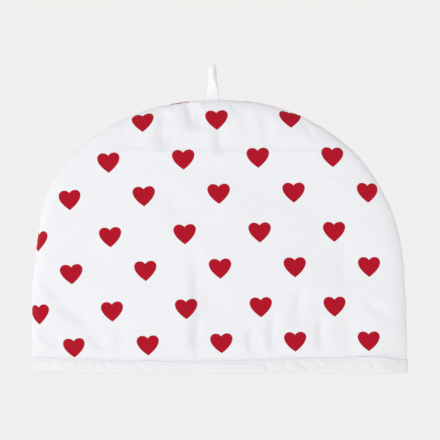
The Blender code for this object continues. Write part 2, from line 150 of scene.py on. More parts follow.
# Ranges of the small seeded creases along the seam and above the binding
SEAM_PUCKERS = {"step": (7, 24), "length": (9, 34), "width": (1.6, 3.6), "depth": (0.1, 0.6)}
HEM_PUCKERS = {"step": (4, 15), "length": (5, 17), "width": (1.4, 3), "depth": (0.15, 0.6)}
SEAM_PUCKER_START = 30.0  # from either end of the outline
HEM_PUCKER_SPAN = (-166, 160)
# The cloth was pressed along a level crease, and steps out below it
FRONT_PRESS = dict(level=207.9, slope=0, start=-122, end=106, depth=1.25, width=6)
BACK_PRESS = dict(level=206, slope=0.004, start=-96, end=104, depth=0.9, width=4)

# The printed cloth lies a little bowed over the wadding, about this height
BOW_HEIGHT = 99.5
BOW_TURN, BOW_ACROSS, BOW_UP = 9.7e-5, 1.165e-4, 3.7e-5
# Where the sewing has pulled the printed cloth a little across and up
PULL_COLUMNS = ("x", "z", "across", "up")
FRONT_PULLS = (
    (-3.5, 239, -0.95, -0.6), (65, 239, -1.85, 0.6), (35, 203, -0.6, 0), (104.5, 204, -0.7, 0.4),
    (-168.5, 57, -1, 0.65), (-169, 104, -2.1, 0), (-67, 28, 0.85, 0), (107, 64, -0.4, -0.5),
    (70, 32, -0.65, 0), (138, 32, -0.5, -0.25), (139, 101, 0.6, 0),
)
PULL_SPREAD = 20.0

FRONT = dict(side=-1, seed=11, folds=FRONT_FOLDS, creases=FRONT_CREASES, press=FRONT_PRESS, pulls=FRONT_PULLS)
BACK = dict(side=1, seed=47, folds=BACK_FOLDS, creases=BACK_CREASES, press=BACK_PRESS, pulls=())

# The binding
BINDING_DEPTH = 13.0
BINDING_THICKNESS = 1.0
BINDING_STEP = 1.1  # between its columns
BINDING_STEPS = round((HALF_WIDTH - HEM_PINCH - SHOULDER_REACH) / BINDING_STEP)
BINDING_TIP = 156.0  # its inner face reaches out to here
TIP_LENGTH = 4.0
TIP_CHAMFER = 1.3
EASE = 0.1
STRIP_NEAR = GAP + EASE  # from the panel to the strip's inner and outer side
STRIP_FAR = STRIP_NEAR + BINDING_THICKNESS
PANEL_FOOT = BINDING_THICKNESS + GAP
STITCH_HEIGHT = 10.7  # of the topstitching that holds the strip
STITCH_LENGTH = 2.5
STITCH_PITCH = 3.1
STITCH_RADIUS = 0.24
STITCH_PULL = 0.3  # the stitches draw the strip in by this
TIGHT_STITCHES = (3, 9, 22, 28)  # and by more between these places in front
TIGHT_PULL = 0.7
INNER_STITCH_LINE = 0.1 - STRIP_FAR
# One stitch: places along its length, and how thick it is there
THREAD_PROFILE = ((-0.5, 0.35), (-0.42, 0.8), (-0.2, 1), (0.2, 1), (0.42, 0.8), (0.5, 0.35))
THREAD_SIDES = 6
THREAD_LIFT, THREAD_DIVE = 0.9, 1.5  # how far it stands up, and its ends dive in, in thicknesses
EDGE_TUCK = 0.75  # how far the strip's upper edge is tucked in where it hasn't curled
FOOT_TURN = (1.9, 2.4)  # the strip turns in under the hem by this, below this height
# The heights of the strip's rows of points up its outer face, from the foot
OUTER_HEIGHTS = (
    0, 0.15, 0.45, 0.9, 1.6, 2.4, 3.4, 4.4, 5.4, 6.4, 7.4, 8.4, 9.2, 9.8, 10.3, 10.7, 11.1, 11.6, 12.2,
)
UPRIGHT_ROW = 5  # the strip's length is measured along this one
# Over the edge: the height, how far through the strip, and the share of the upper edge's run
LIP_ROWS = ((12.6, 0, 0.95), (12.88, 0.18, 1), (13, 0.5, 1), (12.85, 0.85, 1))
# Down behind it, under the hem, up behind the inner half and over its edge: on the outer line or not,
# how far inside its near side, the height, and its shares of the upper edge's run and curl
TURN_ROWS = (
    (1, 0, 12.4, 0.95, 1), (1, 0, 11.2, 0.85, 0.3), (1, 0, 9, 9 / 13, 0), (1, 0, 6, 6 / 13, 0),
    (1, 0, 4.2, 4.2 / 13, 0), (1, 0, 2.6, 0.2, 0), (1, 0.96, 1.4, 0, 0), (1, 2.3, 1, 0, 0), (0, 0, 1, 0, 0),
    (0, 0, 4, 0, 0), (0, 0, 8, 0, 0), (0, 0, 12, 0, 0), (0, 0.15, 12.7, 0, 0), (0, 0.5, 13, 0, 0),
    (0, 0.85, 12.85, 0, 0), (0, 1, 12.5, 0, 0),
)
INNER_HEIGHTS = (12, 11.4, 11, 10.7, 10.4, 10, 9.4, 8, 6.5, 5, 3.5, 2, 1, 0.4)
INNER_FOOT_ROWS = ((0, 0.7, 0.08, 0, 0), (0, 0.4, 0, 0, 0))
# The inner half's unevenness, and where it comes in above the foot and fades to the ends
INNER_UNEVENNESS = (0.22, 7, 24)
INNER_ONSET = (0.4, 3)
INNER_ENDS = (152, 142)
# The strip's puckers in front, in the folds' columns
FRONT_PUCKERS = (
    (-155.5, 8, 13, 1.9, -5, -1.1), (-138, 8, 16, 3.6, -12, -0.8), (-130.8, 7, 17, 1.6, -14, -1.6),
    (-123.4, 6.5, 17, 1.6, -14, -1.5), (-113.8, 7, 16, 1.8, -14, -1.6), (-104.2, 7.5, 16, 2, -25, -1.5),
    (-88, 6, 14, 3, -20, -0.6), (-72, 7.5, 17, 2.4, -45, -1.2), (-30, 8.5, 10, 2.5, -5, -0.7),
    (8, 9, 8, 2, 0, -0.5), (16, 9, 8, 2, 0, -0.6), (35.5, 9.2, 22, 1.6, 90, -1),
    (44, 6, 15, 1.9, -33, -1.5), (60, 7.5, 13, 2.2, -18, -0.7), (76, 7.5, 24, 2.4, -58, -1.3),
    (91, 8, 17, 2.2, -50, -0.9), (106, 9.6, 18, 2, 90, -0.9), (115, 3.8, 12, 1.8, 90, -0.7),
    (129.5, 9, 11, 2.4, -6, -1), (141.5, 7, 12, 2.2, -16, -1.1), (156, 9, 9, 3.2, -10, -0.7),
)
PUCKER_FULLNESS = 0.75  # how far the strip's face stands out below the stitches
PUCKER_FLOOR = -0.8  # and no pucker reaches deeper than this
STRIP_UNEVENNESS = (0.05, 3, 9)
# Behind, they are drawn: the step to the next one, then the columns from z to rise
BACK_PUCKER_SPAN = (-160, 158)
BACK_PUCKER_STEP = (7, 22)
BACK_PUCKER_RANGES = ((5, 8), (12, 17), (1.7, 2.8), (-40, -5), (-1.3, -0.5))
# Where the strip's upper edge has curled out from the panel in front
CURL_COLUMNS = ("from", "full", "to", "out")
EDGE_CURLS = ((124, 157, 166, 1.2), (-84, -66, -40, 0.3), (-172, -160, -146, 0.3))
# How far the hem has ridden up off the table in front, and the strip's upper edge with it
RIPPLE_COLUMNS = ("x", "foot", "top")
HEM_RIPPLES = (
    (-175, 1, 1.6), (-150, 0.9, 1.6), (-143, 0.9, 0.6), (-110, 1, 0.5), (-60, 0.1, -0.2), (-5, 1.4, 0.5),
    (25, 1.9, 1.2), (45, 2.1, 1.9), (78, 1.8, 2.8), (120, 0.3, 2.9), (146, 0, 3.1), (153, 0, 2.3),
    (161, 0, 0.2), (175, 0, -0.6),
)
RIPPLE_EASING = 14.0
RIPPLE_FADE = (26, 4)  # heights between which the ripples come in, downward
RIPPLE_ENDS = (128, 172)  # behind, only the ends ride up with the front
TOP_WAVER = (0.25, 25, 70)

# The hanging loop
LOOP_X = -6.5
LOOP_RISE = 34.4
LOOP_SEAT = 0.25
LOOP_EYE = 9.0
LOOP_WIDEST_AT = 0.7  # of its rise
LOOP_TWIST = -21  # degrees, between these shares of its rise
TWIST_SHARES = (0.1, 0.9)
LOOP_CREST = (0.78, 1)  # shares of the rise between which it flattens
CREST_FLATTENING = 0.75
TAPE_WIDTH_BELOW = 12.7
TAPE_WIDTH_ABOVE = 5.4
TAPE_NARROW_AT = 0.85
TAPE_THICKNESS = 1.0
TAPE_CUP = 1.3
TAPE_SEAM = (-0.45, 0.09)  # where across it its stitches press it in, and how broadly
TAPE_SEAM_DEPTH = 0.16

# The print: hearts in two interleaved lattices on the cloth
ACROSS_STEP = (68.71, 1.714)
UP_STEP = (-1.234, 68.60)
SECOND_OFFSET = (36.29, 33.31)
FRONT_PRINT = (0.48, 99.54)
FRONT_PRINT_END = 160.0  # the last hearts on the right end before this
BACK_PRINT = (40.5, 49)
BACK_PRINT_END = 1000.0  # behind, they run on to the edge
PRINT_EDGE = 0.16  # how soft the ink's edge is
# One heart, measured from its tip, with how full its sides are below its widest height
HEART_TILT = math.radians(0.8)
HEART_MIDDLE = 10.7
HEART_WIDEST_AT = 13.6
HEART_HALF_WIDTH = 10.36
HEART_FULLNESS = 1.825
LOBE_X = 5.37
LOBE_HEIGHT = 4.92
LOBE_OUTER, LOBE_INNER = 4.99, 6.05

# Colours and the cloths' surface
PRINT_RED = (0.415, 0.002, 0.0155, 1)
INK_UNEVENNESS = (1.12, 1.6, 1.3)
CLOTH_WHITE = (0.865, 0.872, 0.90, 1)
BINDING_WHITE = (0.855, 0.86, 0.885, 1)
# The tape's white, lifted above the panels' cloth white as a painted highlight on the loop
TAPE_WHITE_AND_HIGHLIGHT = (0.935, 0.93, 0.95, 1)
THREAD_DARK = (0.80, 0.80, 0.82, 1)
THREAD_WHITE = (0.90, 0.90, 0.91, 1)
COTTON_SHEEN = {"Sheen_Weight": 0.08, "Sheen_Roughness": 0.45, "Specular_IOR_Level": 0.15}
THREAD_SHEEN = {**COTTON_SHEEN, "Sheen_Weight": 0.15}
THREAD_TWIST = 1500.0  # the wave texture's scale
WEAVE_PITCH = 0.4
TAPE_PITCH = 0.55

# The studio
BACKDROP = (0.876, 0.866, 0.852, 1)
LIGHT_COLOR = (0.985, 0.99, 1, 1)
LIGHT_LEVEL, LIGHT_ABOVE = 0.72, 0.46
LAMP_COLUMNS = ("name", "energy", "round", "up")
LAMPS = (("from_the_left", 0.84, -106, 12), ("from_the_front", 1.23, -15, 8))
CAMERA_PLACE = (0.0004, -2.057, 0.1428)


# Small calculations


def smooth(low, high, value):
    """0 below low, 1 above high, and an eased rise between them."""
    share = np.clip((np.asarray(value, float) - low) / (high - low), 0, 1)
    return share * share * (3 - 2 * share)


def plateau(value, start, full, fading, end):
    """1 from full to fading, and an eased rise and fall on both sides."""
    return smooth(start, full, value) * (1 - smooth(fading, end, value))


def bell(value, middle, spread):
    """1 at the middle, and less on both sides of it."""
    return np.exp(-(((value - middle) / spread) ** 2))


def unit(vectors):
    return vectors / np.linalg.norm(vectors, axis=1, keepdims=True)


def distances(line):
    """How far along a line of points each of them lies."""
    return np.concatenate([[0], np.cumsum(np.linalg.norm(np.diff(line, axis=0), axis=1))])


def points_at(line, reach, place):
    """The line's points, or what goes with them, at these distances along it."""
    return np.stack([np.interp(place, reach, column) for column in line.T], axis=-1)


def headings(loop):
    """The direction at each point of a closed line."""
    return unit(np.roll(loop, -1, axis=0) - np.roll(loop, 1, axis=0))


def table(rows, columns):
    return [dict(zip(columns, row)) for row in rows]


def eased_column(rows, name, value, easing, samples):
    """A named column against the table's first, between its rows, with its corners rounded."""
    first = next(iter(rows[0]))
    nearby = np.asarray(value)[..., None] + np.linspace(-easing / 2, easing / 2, samples)
    between = np.interp(nearby, [row[first] for row in rows], [row[name] for row in rows])
    return between.mean(axis=-1)


def waves(x, z, seed, rise, shortest, longest, count=22):
    """A seeded unevenness in x and z of about this rise, in waves of these lengths."""
    random = np.random.default_rng(seed)
    total = np.zeros(np.broadcast(x, z).shape)
    for _ in range(count):
        turn, phase = random.uniform(0, 2 * math.pi, 2)
        length = math.exp(random.uniform(math.log(shortest), math.log(longest)))
        total += np.sin(2 * math.pi * (x * math.cos(turn) + z * math.sin(turn)) / length + phase)
    return rise * total / math.sqrt(count / 2)


# The outline


def side_arc(fullness, sign, steps=700):
    angle = np.linspace(0, math.pi / 2, steps)
    x = sign * HALF_WIDTH * np.cos(angle) ** (2 / fullness[0])
    z = SIDE_HEIGHT + (HEIGHT - SIDE_HEIGHT) * np.sin(angle) ** (2 / fullness[1])
    return np.column_stack([x, z])


def dome_outline(side_steps=60):
    """Up the left side, over the top and down the right, from one panel foot to the other."""
    rise = np.linspace(PANEL_FOOT, SIDE_HEIGHT, side_steps)[:-1]
    straight = np.column_stack([np.full(len(rise), HALF_WIDTH), rise])
    left = np.concatenate([straight * (-1, 1), side_arc(LEFT_FULLNESS, -1)])
    right = np.concatenate([straight, side_arc(RIGHT_FULLNESS, 1)])
    points = np.concatenate([left, right[::-1][1:]])
    above_hem = smooth(BINDING_DEPTH, HEM_FREE_AT, points[:, 1])
    waist = WAIST * bell(points[:, 1], *WAIST_PLACE)
    points[:, 0] -= np.sign(points[:, 0]) * (HEM_PINCH * (1 - above_hem) + waist * above_hem)
    trim = eased_column(table(EDGE_TRIM, TRIM_COLUMNS), "out", distances(points), TRIM_EASING, 11)
    ahead = unit(np.gradient(points, axis=0))
    return points + np.column_stack([-ahead[:, 1], ahead[:, 0]]) * trim[:, None]


OUTLINE = dome_outline()
TRAVEL = distances(OUTLINE)


def on_outline(travel, near=1.5):
    """The outline's points, and its inward normals, at these distances along it."""
    before, here, after = (points_at(OUTLINE, TRAVEL, travel + step) for step in (-near, 0, near))
    ahead = unit(after - before)
    inward = np.column_stack([ahead[:, 1], -ahead[:, 0]])
    # The lowest points are drawn in level, so that the hem stays in its own plane.
    level = (travel <= BINDING_DEPTH) | (travel >= TRAVEL[-1] - BINDING_DEPTH)
    inward[level] = np.column_stack([-np.sign(here[level, 0]), np.zeros(level.sum())])
    return here, inward


def nearest_on_outline(x, z, lots=12):
    """How far along the outline each place's nearest point lies, and how far away it is."""
    found = []
    for some in np.array_split(np.column_stack([np.ravel(x), np.ravel(z)]), lots):
        gaps = np.linalg.norm(some[:, None] - OUTLINE[None], axis=2)
        found.append((TRAVEL[gaps.argmin(axis=1)], gaps.min(axis=1)))
    return (np.concatenate(part).reshape(np.shape(x)) for part in zip(*found))


def shoulder(sign):
    """How far along the outline the shoulder's 45 degree point lies."""
    half = TRAVEL[np.sign(OUTLINE[:, 0]) == sign]
    inward = on_outline(half)[1]
    return half[np.argmin(np.abs(np.abs(inward[:, 0]) - math.sqrt(0.5)))]


def side_rows():
    """How many rows a panel's side has, and where they and its columns meet the outline."""
    left_end, right_end = shoulder(-1), TRAVEL[-1] - shoulder(1)
    rows = round((left_end + right_end) / 2 / CLOTH_STEP)
    columns = round((TRAVEL[-1] - left_end - right_end) / CLOTH_STEP)
    left = np.linspace(0, left_end, rows)
    right = TRAVEL[-1] - np.linspace(0, right_end, rows)
    top = np.linspace(left[-1], right[-1], columns + 1)[1:-1]
    return rows, np.concatenate([left, top, right[::-1]])


def seam_roll(points):
    roll = np.interp(points[:, 0], *np.transpose(SEAM_ROLLS))
    return roll * smooth(BINDING_DEPTH, ROLL_FULL_AT, points[:, 1])


# The panels' depth


def depth_share(x, z, land):
    """1 at the middle of the hem, and 0 this far inside the outline and less beyond."""
    up = np.maximum(z - SIDE_HEIGHT, 0) / (HEIGHT - SIDE_HEIGHT - land)
    out = np.abs(x) / (HALF_WIDTH - land)
    rightward = smooth(-FULLNESS_BLEND, FULLNESS_BLEND, x)
    fullness = zip(LEFT_FULLNESS, RIGHT_FULLNESS)
    across, upward = (left + (right - left) * rightward for left, right in fullness)
    taper = 1 - TOP_TAPER * np.maximum(z - BINDING_DEPTH, 0) / HEIGHT
    return (1 - out**across - up**upward) * taper


def openness(x, z):
    """Half the depth of the hollow at x and z: nothing at the seam, most at the middle of the hem."""
    return OPEN_HALF_DEPTH * np.maximum(depth_share(x, z, SEAM_LAND), 0)


def crown(x, z):
    """How far the padding's outer side stands out with the hollow, softly from near the seam."""
    corner = CORNER_SWELL * bell(x, *CORNER_PLACE) * (1 - smooth(BINDING_DEPTH, CORNER_TOP, z))
    share = CROWN_EASING * np.logaddexp(0, depth_share(x, z, CROWN_LAND) / CROWN_EASING)
    return OPEN_HALF_DEPTH * share + corner


def padding(z):
    full = PADDING_AT_HEM + (PADDING - PADDING_AT_HEM) * smooth(BINDING_DEPTH, PADDING_FULL_AT, z)
    return full - FOOT_ROUNDING * (1 - smooth(PANEL_FOOT, FOOT_ROUNDED_TO, z))


def rim(x, z):
    """How much fuller the padding is beside the seam, above the binding."""
    beside = 1 - smooth(*RIM_SHARES, depth_share(x, z, CROWN_LAND))
    return RIM_SWELL * beside * smooth(BINDING_DEPTH, RIM_FULL_AT, z)


def fold_relief(x, z, folds):
    """The folds' rise and depth over the face."""
    total = np.zeros_like(x)
    for fold in table(folds, FOLD_COLUMNS):
        lean = math.radians(fold["lean"])
        cos, sin = math.cos(lean), math.sin(lean)
        right, up = x - fold["x"], z - fold["z"]
        across, along = right * cos - up * sin, right * sin + up * cos
        ends = 1 - smooth(*FOLD_ENDS, np.abs(along) / (fold["length"] / 2))
        total += fold["rise"] * ends * bell(across, 0, fold["width"])
    return total


def puckers(along, away, random, ranges, span, drift=0.35, full_to=0.15):
    """Short creases that run away from a line of stitches, over its span."""
    total = np.zeros_like(along)
    place = span[0]
    while place < span[1]:
        place += random.uniform(*ranges["step"])
        length, width, depth = (random.uniform(*ranges[name]) for name in ("length", "width", "depth"))
        slant = random.uniform(-drift, drift)
        across = bell(along - place - slant * away, 0, width * (1 + away / length))
        total -= depth * across * smooth(1, full_to, away / length)
    return total


def press_relief(x, z, level, slope, start, end, depth, width, fade=22.0, waver=0.5, wave=19.0, fall=24.0):
    """The step where the cloth was pressed, which wavers, fades at its ends and falls back below."""
    below = level + slope * x + waver * np.sin(x / wave) - z
    step = smooth(-width / 2, width / 2, below) * plateau(x, start, start + fade, end - fade, end)
    return depth * step * np.exp(-np.maximum(below, 0) / fall)


def face_relief(x, z, travel, inset, look):
    """All that stands out from the plain padded face."""
    total = fold_relief(x, z, look["folds"]) * smooth(*FOLD_FADE, z)
    total += fold_relief(x, z, look["creases"]) * smooth(*CREASE_FADE, z)
    uneven = waves(x, z, look["seed"], *WADDING) + waves(x, z, look["seed"] + 1, *CLOTH_UNEVENNESS)
    total += smooth(*WADDING_FADE, z) * uneven
    random = np.random.default_rng(look["seed"] + 2)
    span = SEAM_PUCKER_START, TRAVEL[-1] - SEAM_PUCKER_START
    total += puckers(travel, inset, random, SEAM_PUCKERS, span)
    total += puckers(x, np.maximum(z - BINDING_DEPTH, 0), random, HEM_PUCKERS, HEM_PUCKER_SPAN)
    return total + press_relief(x, z, **look["press"])


# Meshes


def placed(name, data):
    """A new object of this mesh, light or camera, in the scene."""
    made = bpy.data.objects.new(name, data)
    bpy.context.scene.collection.objects.link(made)
    return made


def object_from(name, points, faces, material, cloth=None):
    """A mesh object from points in millimetres. cloth is each point's place on the flat cloth."""
    mesh = bpy.data.meshes.new(name)
    mesh.from_pydata((np.asarray(points) * TO_METRES).tolist(), [], faces)
    shape = bmesh.new()
    shape.from_mesh(mesh)
    bmesh.ops.recalc_face_normals(shape, faces=shape.faces[:])
    shape.to_mesh(mesh)
    shape.free()
    mesh.shade_smooth()
    mesh.materials.append(material)
    if cloth is not None:
        flat = mesh.attributes.new("cloth", "FLOAT_VECTOR", "POINT")
        flat.data.foreach_set("vector", np.asarray(cloth, np.float32).ravel())
    return placed(name, mesh)


def closed_faces(rows, columns):
    """The faces of a grid of points that closes on itself both ways."""
    row, column = np.meshgrid(np.arange(rows), np.arange(columns), indexing="ij")
    beside, above = (column + 1) % columns, (row + 1) % rows
    corners = ((row, column), (row, beside), (above, beside), (above, column))
    return np.stack([(r * columns + c).ravel() for r, c in corners], axis=1).tolist()


def coons(left, top, right):
    """Places a grid's x and z inside its left, top and right sides and a straight lower side."""
    across = np.linspace(0, 1, len(top))[None, :, None]
    reach = distances(left)
    up = (reach / reach[-1])[:, None, None]
    spread = np.linspace(left[0], right[0], len(top))
    ruled = (1 - across) * left[:, None] + across * right[:, None] + (1 - up) * spread[None] + up * top[None]
    lower, upper = ((1 - across) * left[end] + across * right[end] for end in (0, -1))
    return ruled - ((1 - up) * lower + up * upper)


def edge_rows(travel, look):
    """The rounded edge from the seam to the face: its rows outside and inside, and its cloth's place."""
    side = look["side"]
    line, inward = on_outline(travel)
    waver = waves(travel, 0 * travel, look["seed"] + 7, *EDGE_WAVER)
    waver += np.maximum(waves(travel, travel, look["seed"] + 8, *EDGE_GATHERS), GATHER_LEAST)
    waver *= smooth(BINDING_DEPTH, WAVER_FULL_AT, line[:, 1])
    roll = seam_roll(line)
    outer, inner = [], []
    for degrees, inset in [(angle, None) for angle in EDGE_ANGLES] + [(90, inset) for inset in FLAT_INSETS]:
        angle = math.radians(degrees)
        to_seam = smooth(90, EDGE_ANGLES[0], degrees)
        lowered = to_seam if side < 0 else smooth(0, EDGE_ANGLES[0], degrees)
        if inset is None:
            inset = (NOSE if degrees < 0 else SHOULDER_REACH) * (1 - math.cos(angle))
        place = line + inward * (inset + roll * lowered + waver * (1 - max(inset, 0) / STRIP_INSET))[:, None]
        depth = padding(place[:, 1]) / 2 * (1 + math.sin(angle)) + rim(*place.T) * max(math.sin(angle), 0)
        depth += crown(*place.T) * smooth(EDGE_ANGLES[0], CROWN_ANGLE, degrees)
        relief = face_relief(*place.T, travel, np.full(len(travel), max(inset, 0.0)), look)
        depth += relief * max(math.sin(angle), 0) ** 1.5
        outer.append(np.column_stack([place[:, 0], side * depth - roll * to_seam, place[:, 1]]))
    for share in np.linspace(0, 1, len(outer)):
        inset = INNER_SEAM_INSET + (STRIP_INSET - INNER_SEAM_INSET) * share + (roll + waver) * (1 - share)
        place = line + inward * inset[:, None]
        depth = GAP / 2 + openness(*place.T)
        inner.append(np.column_stack([place[:, 0], side * depth - roll * (1 - share) ** 2, place[:, 1]]))
    outer, inner = np.array(outer), np.array(inner)
    steps = np.linalg.norm(np.diff(outer[::-1], axis=0), axis=2)
    past = np.concatenate([np.zeros((1, len(travel))), np.cumsum(steps, axis=0)])[::-1]
    cloth = outer[-1][None, :, [0, 2]] - inward[None] * past[..., None]
    return outer, inner, cloth


def shell(strip, grid):
    """A face with its rounded edge: its points, their faces, and the points along the hem and the seam."""
    rows, columns = grid.shape[:2]
    count, boundary = strip.shape[:2]
    number = np.empty((rows, columns), int)
    last = (count - 1) * boundary + np.arange(boundary)
    number[:, 0], number[:, -1] = last[:rows], last[-rows:][::-1]
    number[-1, 1:-1] = last[rows:-rows]
    number[:-1, 1:-1] = count * boundary + np.arange((rows - 1) * (columns - 2)).reshape(rows - 1, -1)
    points = np.concatenate([strip.reshape(-1, strip.shape[-1]), grid[:-1, 1:-1].reshape(-1, grid.shape[-1])])
    edge = np.arange(count * boundary).reshape(count, boundary)
    faces = np.concatenate([
        np.stack([n[:-1, :-1], n[:-1, 1:], n[1:, 1:], n[1:, :-1]], axis=-1).reshape(-1, 4)
        for n in (edge, number)
    ])
    return points, faces, np.concatenate([edge[:, 0], number[0, 1:-1], edge[::-1, -1]]), edge[0]


def settled(x, z, pulls):
    """The cloth's own place under x and z: it lies bowed over the wadding, and a little pulled about."""
    up = z - BOW_HEIGHT
    place = np.column_stack([x - BOW_TURN * x * up, z + BOW_ACROSS * x**2 - BOW_UP * up**2])
    for pull in table(pulls, PULL_COLUMNS):
        share = np.exp(-((x - pull["x"]) ** 2 + (z - pull["z"]) ** 2) / PULL_SPREAD**2)
        place -= share[:, None] * (pull["across"], pull["up"])
    return place


def panel(name, look, material):
    """One padded panel: an outer and an inner face, closed along the seam and along the hem."""
    rows, travel = side_rows()
    outer_strip, inner_strip, strip_cloth = edge_rows(travel, look)
    shells = []
    for strip, is_outer in ((outer_strip, True), (inner_strip, False)):
        end = strip[-1][:, [0, 2]]
        grid = coons(end[:rows], end[rows - 1 : len(end) - rows + 1], end[-rows:][::-1])
        x, z = grid[..., 0], grid[..., 1]
        depth = openness(x, z) + GAP / 2
        if is_outer:
            near, inset = nearest_on_outline(x, z)
            depth = crown(x, z) + padding(z) + rim(x, z) + face_relief(x, z, near, inset, look)
        flat = strip_cloth if is_outer else strip[..., [0, 2]]
        grid = np.stack([x, look["side"] * depth, z, x, z], axis=-1)
        shells.append(shell(np.concatenate([strip, flat], axis=-1), grid))
    (outer, outer_faces, hem, seam), (inner, inner_faces, _, _) = shells
    shift = len(outer)
    faces = [outer_faces, inner_faces[:, ::-1] + shift]
    for edge in (hem, seam):
        faces.append(np.stack([edge[:-1], edge[1:], edge[1:] + shift, edge[:-1] + shift], axis=1))
    points = np.concatenate([outer, inner])
    points[:, :3] = rippled(points[:, :3], look["side"])
    cloth = np.column_stack([settled(*points[:, 3:].T, look["pulls"]), np.zeros(len(points))])
    cloth[:, 0] *= -look["side"]
    cloth[shift:, 2] = 1  # marks the unprinted inner face
    return object_from(name, points[:, :3], np.concatenate(faces).tolist(), material, cloth)


# The binding


def mirrored(half, sign=1):
    return np.concatenate([half, sign * half[::-1][1:]])


def plan_line(side, outside, points=15, sharpness=1.6):
    """The panel's lower edge seen from above, from the right end to the left: x and y."""
    share = np.linspace(0, 1, points)
    if outside:
        turn = np.radians(90 * share)
        nose = HALF_WIDTH - HEM_PINCH - SHOULDER_REACH * (1 - np.cos(turn))
        lift = PADDING_AT_HEM / 2 * (1 + np.sin(turn))
    else:
        nose = BINDING_TIP - TIP_LENGTH * share**sharpness
        lift = GAP / 2 - TIP_CHAMFER * (1 - share) ** 3
    run = np.linspace(nose[-1], 0, BINDING_STEPS)[1:]
    x = mirrored(np.concatenate([nose, run]), -1)
    reach = (crown if outside else openness)(x, np.full(len(x), PANEL_FOOT))
    if outside:
        turned = mirrored(np.concatenate([90 * share, np.full(len(run), CROWN_ANGLE)]))
        reach *= smooth(EDGE_ANGLES[0], CROWN_ANGLE, turned)
    thick = mirrored(np.concatenate([lift, np.full(len(run), lift[-1])]))
    return np.column_stack([x, side * (thick + reach)])


def ring(outside, offset):
    """The lower edges of both panels as one closed line, moved outward by offset."""
    closed = np.concatenate([plan_line(-1, outside), plan_line(1, outside)[::-1]])
    ahead = headings(closed)
    outward = np.column_stack([-ahead[:, 1], ahead[:, 0]])
    return closed + outward * offset, outward


def strip_base():
    """The line under the strip's outer half, its outward direction, and -1 in front or 1 behind."""
    base, outward = ring(True, 0.0)
    return base, outward, np.where(np.arange(len(base)) < len(base) // 2, -1, 1)


def back_puckers(seed=5):
    """The puckers behind, spread unevenly along the strip."""
    random = np.random.default_rng(seed)
    place, rows = BACK_PUCKER_SPAN[0], []
    while place < BACK_PUCKER_SPAN[1]:
        place += random.uniform(*BACK_PUCKER_STEP)
        rows.append((place, *(random.uniform(*ends) for ends in BACK_PUCKER_RANGES)))
    return rows


def pucker_rise(x, height, side, onset=(-0.25, 0.2), end=(0.7, 1.0), loss=0.85, seed=71):
    """How far the strip's face stands out with its puckers, from the stitches down to the fold."""
    down = (STITCH_HEIGHT - height) / STITCH_HEIGHT
    swell = smooth(*onset, down) * (1 - loss * smooth(*end, down))
    valleys = fold_relief(x, height, FRONT_PUCKERS if side < 0 else back_puckers())
    fine = waves(x, height * 2, seed + side, *STRIP_UNEVENNESS)
    return np.maximum((PUCKER_FULLNESS + valleys) * swell + fine, PUCKER_FLOOR)


def hem_ripple(x, side):
    """How far the strip's lower and upper edges stand above their usual heights."""
    rows = table(HEM_RIPPLES, RIPPLE_COLUMNS)
    share = np.where(np.asarray(side) < 0, 1, smooth(*RIPPLE_ENDS, np.abs(x)))
    return [share * eased_column(rows, name, x, RIPPLE_EASING, 9) for name in ("foot", "top")]


def rippled(points, side):
    """Points of a piece near the hem, carried up with its ripples."""
    foot, _ = hem_ripple(points[:, 0], side)
    points[:, 2] += foot * smooth(*RIPPLE_FADE, points[:, 2])
    return points


def strip_heights(height, share, seed=90):
    """How high this row of the strip stands all round. share is how far it goes with the upper edge."""
    base, _, side = strip_base()
    foot, top = hem_ripple(base[:, 0], side)
    top += waves(*base.T, seed, *TOP_WAVER) - foot * smooth(*RIPPLE_FADE, BINDING_DEPTH)
    raised = height + top * share
    return raised + foot * smooth(*RIPPLE_FADE, raised)


def edge_curl(x, side, ending=6.0, untucked_at=0.5):
    """How far the strip's upper edge curls out from the panel, and how far it is tucked in."""
    out = np.zeros_like(x)
    for row in table(EDGE_CURLS, CURL_COLUMNS):
        out += row["out"] * plateau(x * -side, row["from"], row["full"], row["to"] - ending, row["to"])
    return out, EDGE_TUCK * smooth(untucked_at, 0, out)


def strip_face(height):
    """The strip's outer face at this height, all round: its x and y, and its outward direction."""
    base, outward, side = strip_base()
    x = base[:, 0]
    rise = np.where(side < 0, pucker_rise(x, height, -1), pucker_rise(x, height, 1))
    rise *= smooth(BINDING_TIP + 10, BINDING_TIP, np.abs(x))
    tight = plateau(x, *TIGHT_STITCHES) * (side < 0)
    rise -= (STITCH_PULL + TIGHT_PULL * tight) * bell(height, STITCH_HEIGHT, 0.9)
    curl, tuck = edge_curl(x, side)
    rise += (curl - tuck) * smooth(STITCH_HEIGHT + 0.3, BINDING_DEPTH, height)
    turned = 1 - min(height / FOOT_TURN[1], 1)
    drawn_in = FOOT_TURN[0] * (1 - math.sqrt(1 - turned**2))
    return base + outward * (STRIP_FAR - drawn_in + rise)[:, None], outward


def turned_rows(rows, lifted):
    """The lines, heights and shares of a table's rows. lifted is the upper edge's curl."""
    for outer, inset, height, follow, curl in rows:
        yield ring(outer, (STRIP_NEAR if outer else -STRIP_NEAR) - inset)[0] + lifted * curl, height, follow


def inner_face(height, seed=33, stretch=0.4, pull=0.15, pull_height=0.7, least=-0.4, most=0.5):
    """The strip's inner face at this height, a little uneven, and drawn in by its stitches."""
    inner, outward = ring(False, -STRIP_FAR)
    rise = waves(inner[:, 0], height * stretch, seed, *INNER_UNEVENNESS)
    rise -= pull * bell(height, STITCH_HEIGHT, pull_height)
    rise *= smooth(*INNER_ONSET, height) * smooth(*INNER_ENDS, np.abs(inner[:, 0]))
    return inner - outward * np.clip(rise, least, most)[:, None]


